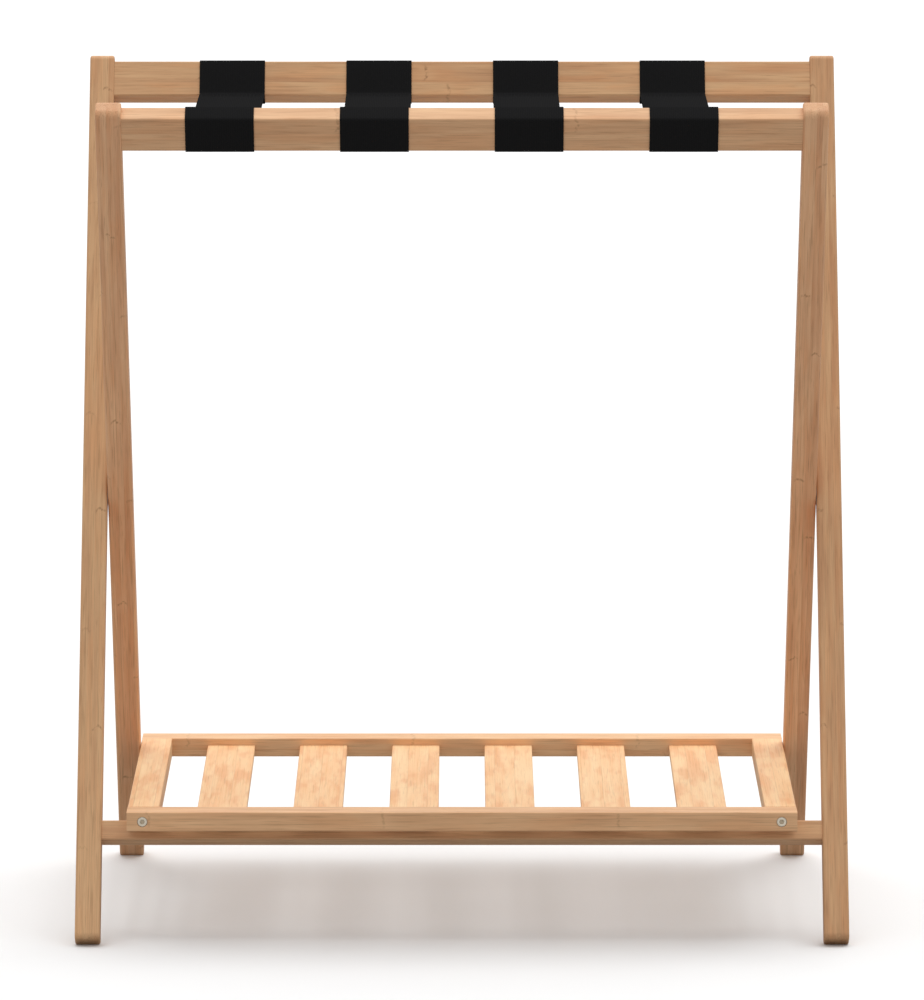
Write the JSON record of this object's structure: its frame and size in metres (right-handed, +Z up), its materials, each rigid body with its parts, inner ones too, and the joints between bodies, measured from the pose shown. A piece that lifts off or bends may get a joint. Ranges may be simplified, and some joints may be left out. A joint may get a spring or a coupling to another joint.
{
  "type": "folding luggage rack",
  "caption": "Folding bamboo luggage rack: two crossed leg frames that close on a side pivot, flat webbing straps across the top rails, and a slatted lower shelf that flips up.",
  "frame": {"origin": "on the floor, midway between the four feet and straight below the main pivot", "axes": "+Z up, +X to the rack's right, -Y to its front, where the crossbar and the shelf's front rail are"},
  "size_m": [0.69, 0.4522, 0.7542],
  "materials": {
    "bamboo": "clear satin lacquer over laminated bamboo strips",
    "webbing": "woven polypropylene, matte",
    "zinc_steel": "zinc plated",
    "nylon": "natural nylon",
    "dowel_wood": "fluted beech, glued"
  },
  "bodies": {
    "outer_frame": {"crossbar_dowels": "dowel_wood", "left_outer_leg": "bamboo", "lower_crossbar": "bamboo", "pivot_bolts": "zinc_steel", "pivot_sleeve_nuts": "zinc_steel", "pivot_washers": "nylon", "rear_rail_dowels": "dowel_wood", "rear_top_rail": "bamboo", "right_outer_leg": "bamboo", "strap_1_rear_wrap": "webbing", "strap_1_span": "webbing", "strap_2_rear_wrap": "webbing", "strap_2_span": "webbing", "strap_3_rear_wrap": "webbing", "strap_3_span": "webbing", "strap_4_rear_wrap": "webbing", "strap_4_span": "webbing"},
    "inner_frame": {"front_rail_dowels": "dowel_wood", "front_top_rail": "bamboo", "left_inner_leg": "bamboo", "right_inner_leg": "bamboo", "strap_1_front_wrap": "webbing", "strap_2_front_wrap": "webbing", "strap_3_front_wrap": "webbing", "strap_4_front_wrap": "webbing"},
    "shelf": {"shelf_front_bolts": "zinc_steel", "shelf_front_inserts": "zinc_steel", "shelf_front_rail": "bamboo", "shelf_left_side_rail": "bamboo", "shelf_pivot_bolts": "zinc_steel", "shelf_pivot_inserts": "zinc_steel", "shelf_pivot_washers": "nylon", "shelf_rear_bolts": "zinc_steel", "shelf_rear_inserts": "zinc_steel", "shelf_rear_rail": "bamboo", "shelf_right_side_rail": "bamboo", "shelf_slat_1": "bamboo", "shelf_slat_2": "bamboo", "shelf_slat_3": "bamboo", "shelf_slat_4": "bamboo", "shelf_slat_5": "bamboo", "shelf_slat_6": "bamboo"}
  },
  "joints": [
    {"name": "fold", "type": "hinge", "parent": "outer_frame", "child": "inner_frame", "pos_m": [0, 0, 0.37295], "axis": [-1, 0, 0], "range_deg": [0, 56.5], "deforming": ["strap_1_span", "strap_2_span", "strap_3_span", "strap_4_span"]},
    {"name": "shelf_flip", "type": "hinge", "parent": "inner_frame", "child": "shelf", "pos_m": [0, 0.15296, 0.10908], "axis": [-1, 0, 0], "range_deg": [0, 60]}
  ]
}
